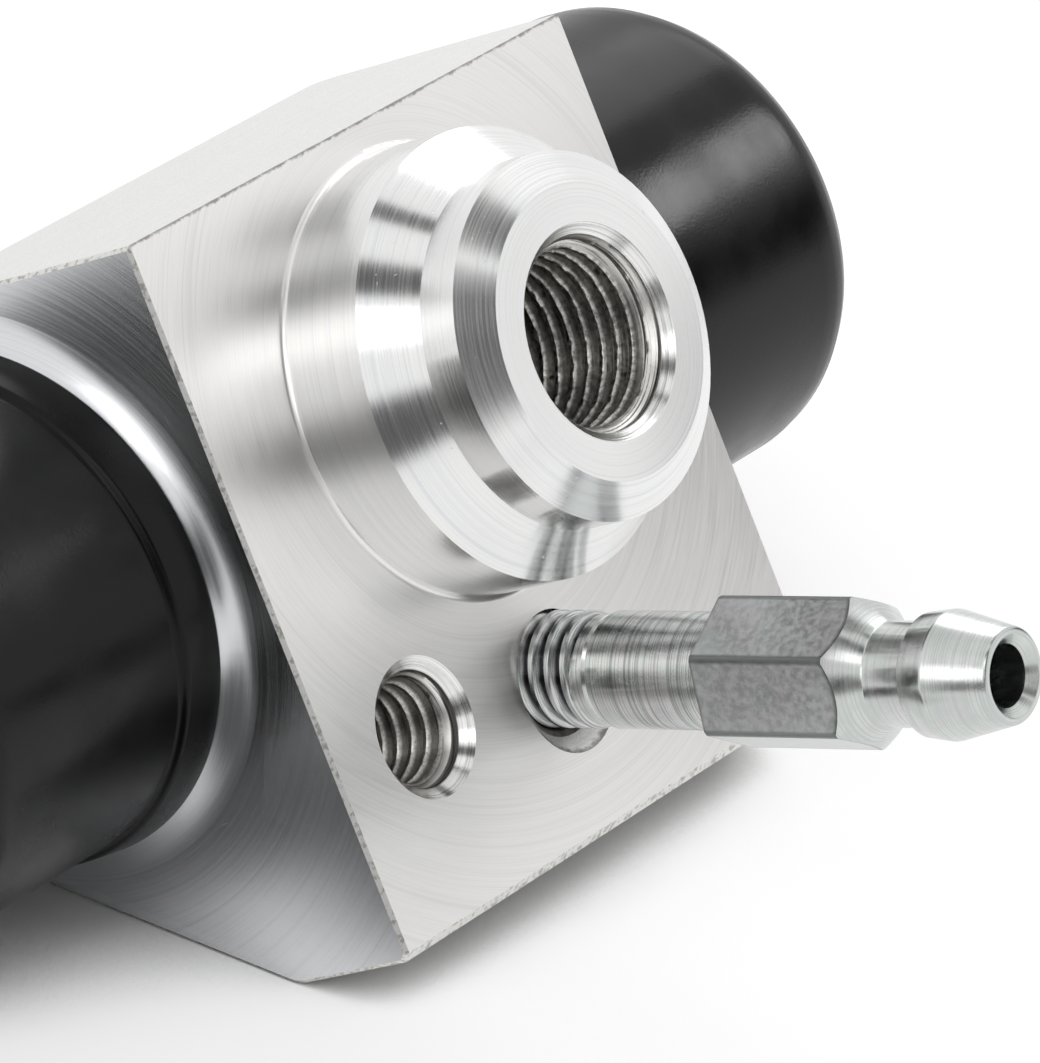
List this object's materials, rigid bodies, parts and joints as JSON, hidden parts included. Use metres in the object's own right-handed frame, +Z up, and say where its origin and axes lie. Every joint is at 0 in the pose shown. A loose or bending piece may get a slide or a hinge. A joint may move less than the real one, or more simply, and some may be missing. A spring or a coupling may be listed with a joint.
{
  "type": "wheel cylinder",
  "caption": "Hydraulic drum brake wheel cylinder: machined aluminium body with a threaded inlet boss, opposed slotted pistons in rubber dust boots, and an angled bleed screw.",
  "frame": {"origin": "below the middle of the whole part, on the surface that its slanted underside lies on", "axes": "+X along the bore, towards the right piston; +Z up with the slanted flat of the underside down; the mounting face looks towards -Y and up"},
  "size_m": [0.0854, 0.063, 0.038],
  "materials": {
    "body": "extruded bar, faces and boss machined",
    "bleeder": "bright zinc plated",
    "boot": "moulded, semi-gloss",
    "piston": "turned",
    "seal": "moulded",
    "pressed_steel": "pressed, passivated",
    "spring_steel": "drawn wire"
  },
  "bodies": {
    "housing": {"body": "body", "left_dust_boot": "boot", "right_dust_boot": "boot", "return_spring": "spring_steel"},
    "left_piston_unit": {"left_piston": "piston", "left_cup_seal": "seal", "left_cup_expander": "pressed_steel"},
    "right_piston_unit": {"right_piston": "piston", "right_cup_seal": "seal", "right_cup_expander": "pressed_steel"},
    "bleeder": {"bleeder_screw": "bleeder"}
  },
  "joints": [
    {"name": "left_piston_slide", "type": "slide", "parent": "housing", "child": "left_piston_unit", "axis": [-1, 0, 0], "range_m": [-0.002, 0.006], "deforming": ["left_dust_boot", "return_spring"]},
    {"name": "right_piston_slide", "type": "slide", "parent": "housing", "child": "right_piston_unit", "axis": [1, 0, 0], "range_m": [-0.002, 0.006], "deforming": ["right_dust_boot", "return_spring"]},
    {"name": "bleeder_turn", "type": "hinge", "parent": "housing", "child": "bleeder", "pos_m": [0, -0.00449, 0.01122], "axis": [0, -0.9483, 0.3173], "range_deg": [0, 360]}
  ]
}
